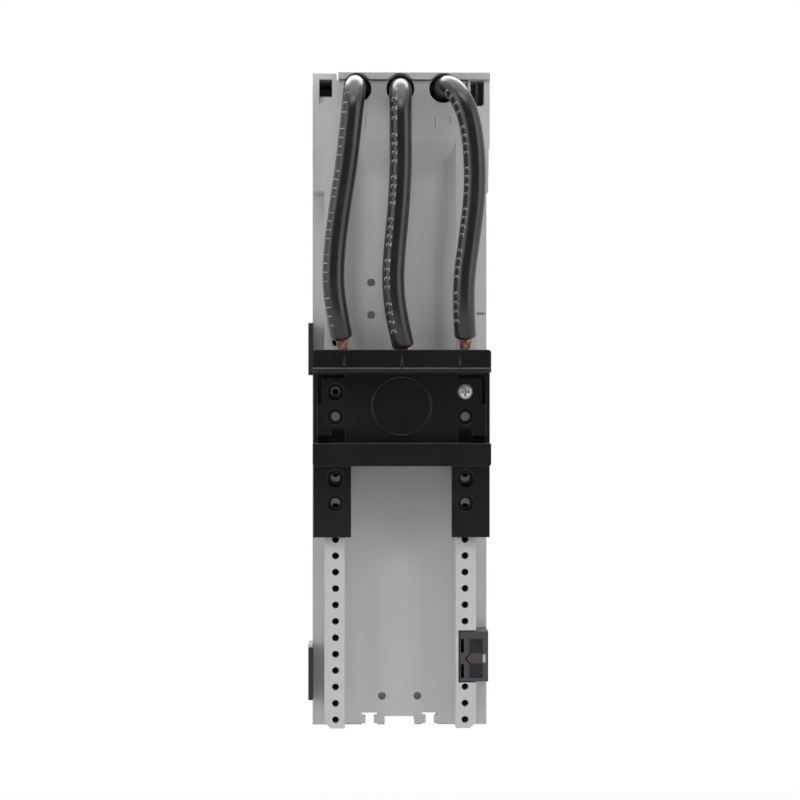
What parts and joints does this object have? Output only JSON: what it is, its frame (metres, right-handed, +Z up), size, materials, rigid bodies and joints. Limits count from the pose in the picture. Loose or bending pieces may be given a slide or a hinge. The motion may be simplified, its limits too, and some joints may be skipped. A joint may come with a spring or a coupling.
{
  "type": "busbar adapter",
  "caption": "Slim plug-on adapter that clamps to a set of flat busbars and carries a switching device on a slotted rail, fed by short stripped leads.",
  "frame": {"origin": "on the front face of the middle busbar, at mid-width of the adapter", "axes": "+X to the right seen from the front, +Y from the front to the busbars, +Z up along the adapter"},
  "size_m": [0.0555, 0.054, 0.2006],
  "materials": {
    "housing_grey": "fine textured moulding",
    "cover_grey": "fine textured moulding",
    "rail_black": "glass-filled moulding, satin",
    "coupler_black": "satin moulding",
    "latch_grey": "satin moulding",
    "lead_insulation": "smooth extruded, satin",
    "bare_copper": "stranded copper",
    "tinned_copper": "tin plate on copper",
    "hook_steel": "nickel plated steel",
    "spring_steel": "drawn wire",
    "zinc_steel": "bright zinc plate"
  },
  "bodies": {
    "adapter": {"housing": "housing_grey", "rear_cover": "cover_grey", "lead_clamp_bar": "housing_grey", "cover_screws": "zinc_steel", "coupler_upper": "coupler_black", "coupler_lower": "coupler_black", "lock_spring": "spring_steel", "lead_1": "lead_insulation", "lead_core_1": "bare_copper", "conductor_1": "tinned_copper", "hook_spring_1": "spring_steel", "lead_2": "lead_insulation", "lead_core_2": "bare_copper", "conductor_2": "tinned_copper", "hook_spring_2": "spring_steel", "lead_3": "lead_insulation", "lead_core_3": "bare_copper", "conductor_3": "tinned_copper", "hook_spring_3": "spring_steel"},
    "rail": {"mounting_rail": "rail_black", "rail_screw": "zinc_steel"},
    "latch": {"side_latch": "latch_grey"},
    "lock": {"lock_slide": "coupler_black"},
    "hook_1": {"clamp_hook_1": "hook_steel"},
    "hook_2": {"clamp_hook_2": "hook_steel"},
    "hook_3": {"clamp_hook_3": "hook_steel"}
  },
  "joints": [
    {"name": "rail_slide", "type": "slide", "parent": "adapter", "child": "rail", "axis": [0, 0, 1], "range_m": [-0.03, 0]},
    {"name": "side_latch_slide", "type": "slide", "parent": "adapter", "child": "latch", "axis": [1, 0, 0], "range_m": [0, 0.003]},
    {"name": "lock_slide_travel", "type": "slide", "parent": "adapter", "child": "lock", "axis": [0, 0, -1], "range_m": [0, 0.005], "stiffness_N_per_m": 300, "springref_m": -0.002, "deforming": ["lock_spring"]},
    {"name": "clamp_hook_1_slide", "type": "slide", "parent": "adapter", "child": "hook_1", "axis": [0, 1, 0], "range_m": [0, 0.0054], "stiffness_N_per_m": 600, "springref_m": -0.003, "deforming": ["hook_spring_1"]},
    {"name": "clamp_hook_2_slide", "type": "slide", "parent": "adapter", "child": "hook_2", "axis": [0, 1, 0], "range_m": [0, 0.0054], "stiffness_N_per_m": 600, "springref_m": -0.003, "deforming": ["hook_spring_2"]},
    {"name": "clamp_hook_3_slide", "type": "slide", "parent": "adapter", "child": "hook_3", "axis": [0, 1, 0], "range_m": [0, 0.0054], "stiffness_N_per_m": 600, "springref_m": -0.003, "deforming": ["hook_spring_3"]}
  ]
}
